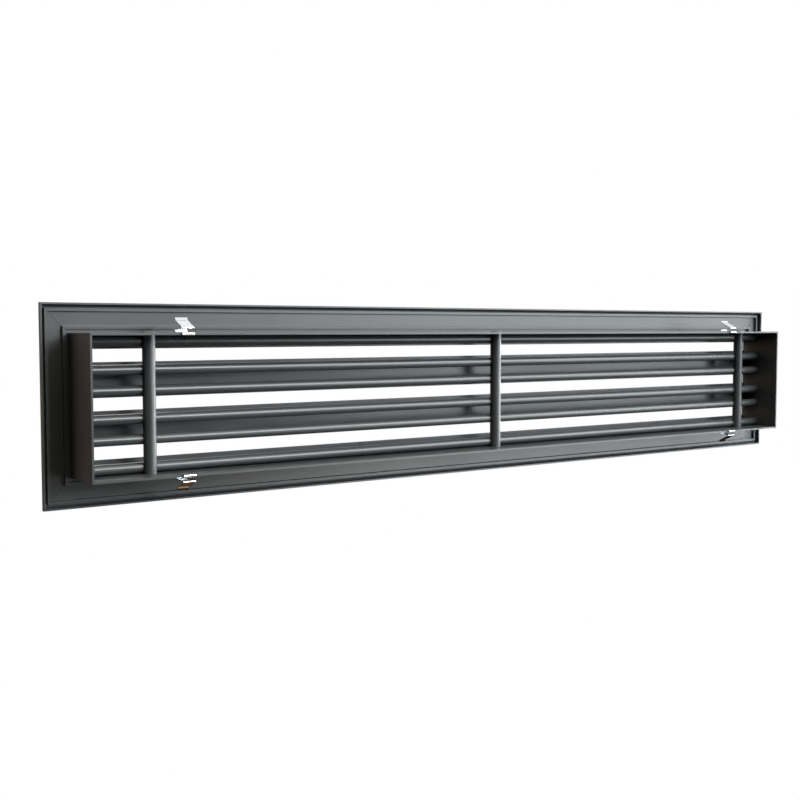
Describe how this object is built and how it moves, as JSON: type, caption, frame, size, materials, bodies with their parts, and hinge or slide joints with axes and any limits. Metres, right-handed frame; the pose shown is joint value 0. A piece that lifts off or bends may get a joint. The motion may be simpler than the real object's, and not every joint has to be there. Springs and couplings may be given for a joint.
{
  "type": "linear slot diffuser",
  "caption": "Long flanged linear slot diffuser for a wall or ceiling, with a rectangular neck, bulb-edged channel blades, spacer tubes and spring clips on the neck.",
  "frame": {"origin": "centre of the neck in the wall plane, which is the plane of the flange lip's rear edges", "axes": "+X along the length, +Y out of the wall into the room, +Z across the slots"},
  "size_m": [0.845, 0.0476, 0.154],
  "materials": {
    "coated_frame": "satin anthracite powder coat on extruded aluminium",
    "coated_blade": "satin anthracite powder coat on extruded aluminium",
    "coated_tube": "satin anthracite powder coat on aluminium tube",
    "coated_rivet": "satin anthracite powder coat over the rivet",
    "plated_spring": "bright plated spring steel"
  },
  "bodies": {
    "root": {"frame_top_rail": "coated_frame", "frame_bottom_rail": "coated_frame", "frame_left_rail": "coated_frame", "frame_right_rail": "coated_frame", "border_blade_upper": "coated_blade", "border_blade_lower": "coated_blade", "channel_blade_upper": "coated_blade", "channel_blade_lower": "coated_blade", "spacer_tube_left": "coated_tube", "spacer_tube_centre": "coated_tube", "spacer_tube_right": "coated_tube", "rivet_upper_left": "coated_rivet", "rivet_upper_centre": "coated_rivet", "rivet_upper_right": "coated_rivet", "rivet_lower_left": "coated_rivet", "rivet_lower_centre": "coated_rivet", "rivet_lower_right": "coated_rivet", "clip_upper_left": "plated_spring", "clip_upper_right": "plated_spring", "clip_lower_left": "plated_spring", "clip_lower_right": "plated_spring"}
  },
  "joints": []
}
